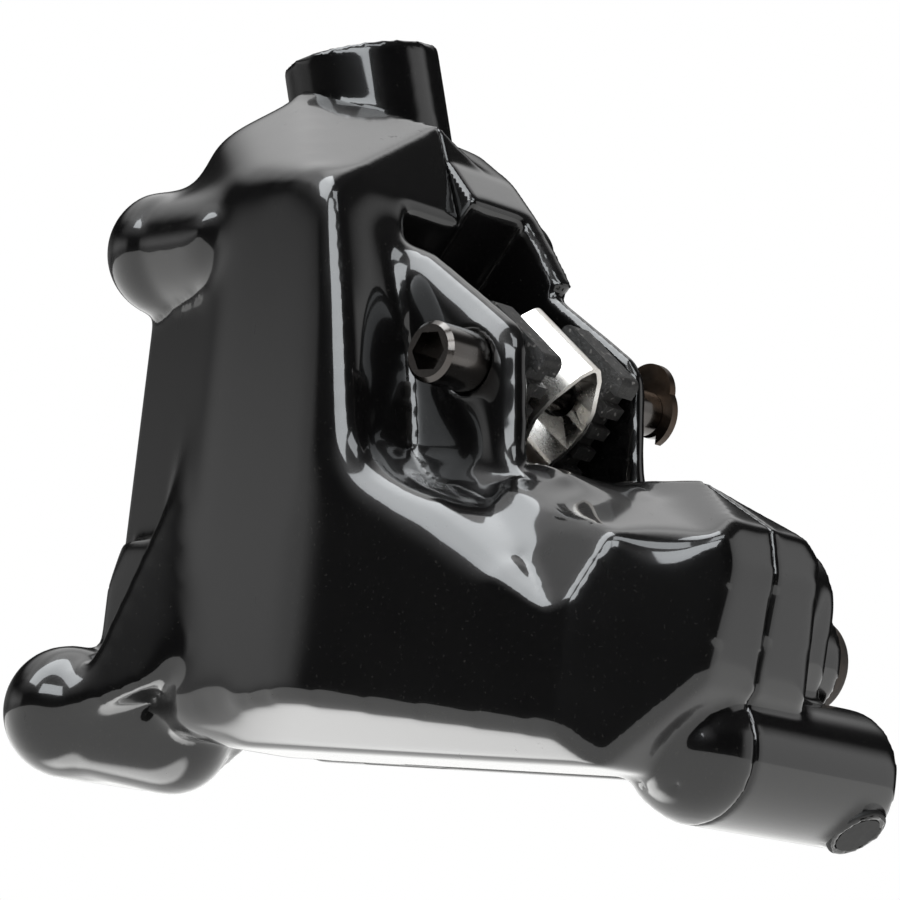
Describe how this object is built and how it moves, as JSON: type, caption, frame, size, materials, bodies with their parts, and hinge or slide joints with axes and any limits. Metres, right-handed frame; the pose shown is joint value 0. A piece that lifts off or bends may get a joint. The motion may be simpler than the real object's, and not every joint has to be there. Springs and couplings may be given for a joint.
{
  "type": "disc brake caliper",
  "caption": "Flat-mount opposed-piston bicycle disc brake caliper in two bolted halves, with pads, pad pin, spring clip, hose port and bleed fitting.",
  "frame": {"origin": "midway between the two mount screw holes, on the mount face", "axes": "+X away from the frame or fork, +Y along the rotor axis from the outer half to the wheel-side half, +Z along the line of the mount screws towards the hose port"},
  "size_m": [0.0572, 0.0316, 0.0579],
  "materials": {
    "body_paint": "gloss",
    "piston_resin": "satin",
    "seal_rubber": "matte",
    "cover_rubber": "matte",
    "pad_steel": "rough",
    "pad_lining": "rough",
    "spring_steel": "bright",
    "pin_nickel": "dark nickel",
    "clip_steel": "browned",
    "bolt_steel": "black oxide",
    "valve_steel": "satin",
    "plug_black": "matte"
  },
  "bodies": {
    "caliper_body": {"outer_body_half": "body_paint", "inner_body_half": "body_paint", "outer_piston_seal": "seal_rubber", "inner_piston_seal": "seal_rubber", "lower_body_bolt": "bolt_steel", "upper_body_bolt": "bolt_steel", "crossover_seal": "seal_rubber", "boss_plug": "plug_black", "pad_spring": "spring_steel"},
    "outer_piston": {"outer_piston": "piston_resin"},
    "inner_piston": {"inner_piston": "piston_resin"},
    "outer_pad": {"outer_pad_plate": "pad_steel", "outer_pad_lining": "pad_lining"},
    "inner_pad": {"inner_pad_plate": "pad_steel", "inner_pad_lining": "pad_lining"},
    "pad_pin": {"pad_pin": "pin_nickel"},
    "pin_clip": {"pin_clip": "clip_steel"},
    "bleed_valve": {"bleed_valve": "valve_steel", "bleed_valve_seal": "seal_rubber"},
    "bleed_cover": {"bleed_cover": "cover_rubber"}
  },
  "joints": [
    {"name": "outer_piston_slide", "type": "slide", "parent": "caliper_body", "child": "outer_piston", "axis": [0, 1, 0], "range_m": [-0.0005, 0.001], "deforming": ["pad_spring"]},
    {"name": "outer_pad_slide", "type": "slide", "parent": "caliper_body", "child": "outer_pad", "axis": [0, 1, 0], "range_m": [-0.0005, 0.001]},
    {"name": "inner_piston_slide", "type": "slide", "parent": "caliper_body", "child": "inner_piston", "axis": [0, -1, 0], "range_m": [-0.0005, 0.001]},
    {"name": "inner_pad_slide", "type": "slide", "parent": "caliper_body", "child": "inner_pad", "axis": [0, -1, 0], "range_m": [-0.0005, 0.001]},
    {"name": "pad_pin_turn", "type": "hinge", "parent": "caliper_body", "child": "pad_pin", "pos_m": [0.03511, 0.0065, 0.0078], "axis": [0, 1, 0], "range_deg": [-180, 180]},
    {"name": "pin_clip_pull", "type": "slide", "parent": "pad_pin", "child": "pin_clip", "axis": [0, 0, 1], "range_m": [0, 0.006]},
    {"name": "bleed_valve_turn", "type": "hinge", "parent": "caliper_body", "child": "bleed_valve", "pos_m": [0.04788, 0.0207, -0.00902], "axis": [0, 1, 0], "range_deg": [-360, 360]},
    {"name": "bleed_cover_pull", "type": "slide", "parent": "caliper_body", "child": "bleed_cover", "axis": [0, 1, 0], "range_m": [0, 0.005]}
  ],
  "couplings": [
    {"joint": "outer_pad_slide", "follows": "outer_piston_slide", "ratio": 1},
    {"joint": "inner_piston_slide", "follows": "outer_piston_slide", "ratio": 1},
    {"joint": "inner_pad_slide", "follows": "outer_piston_slide", "ratio": 1}
  ]
}
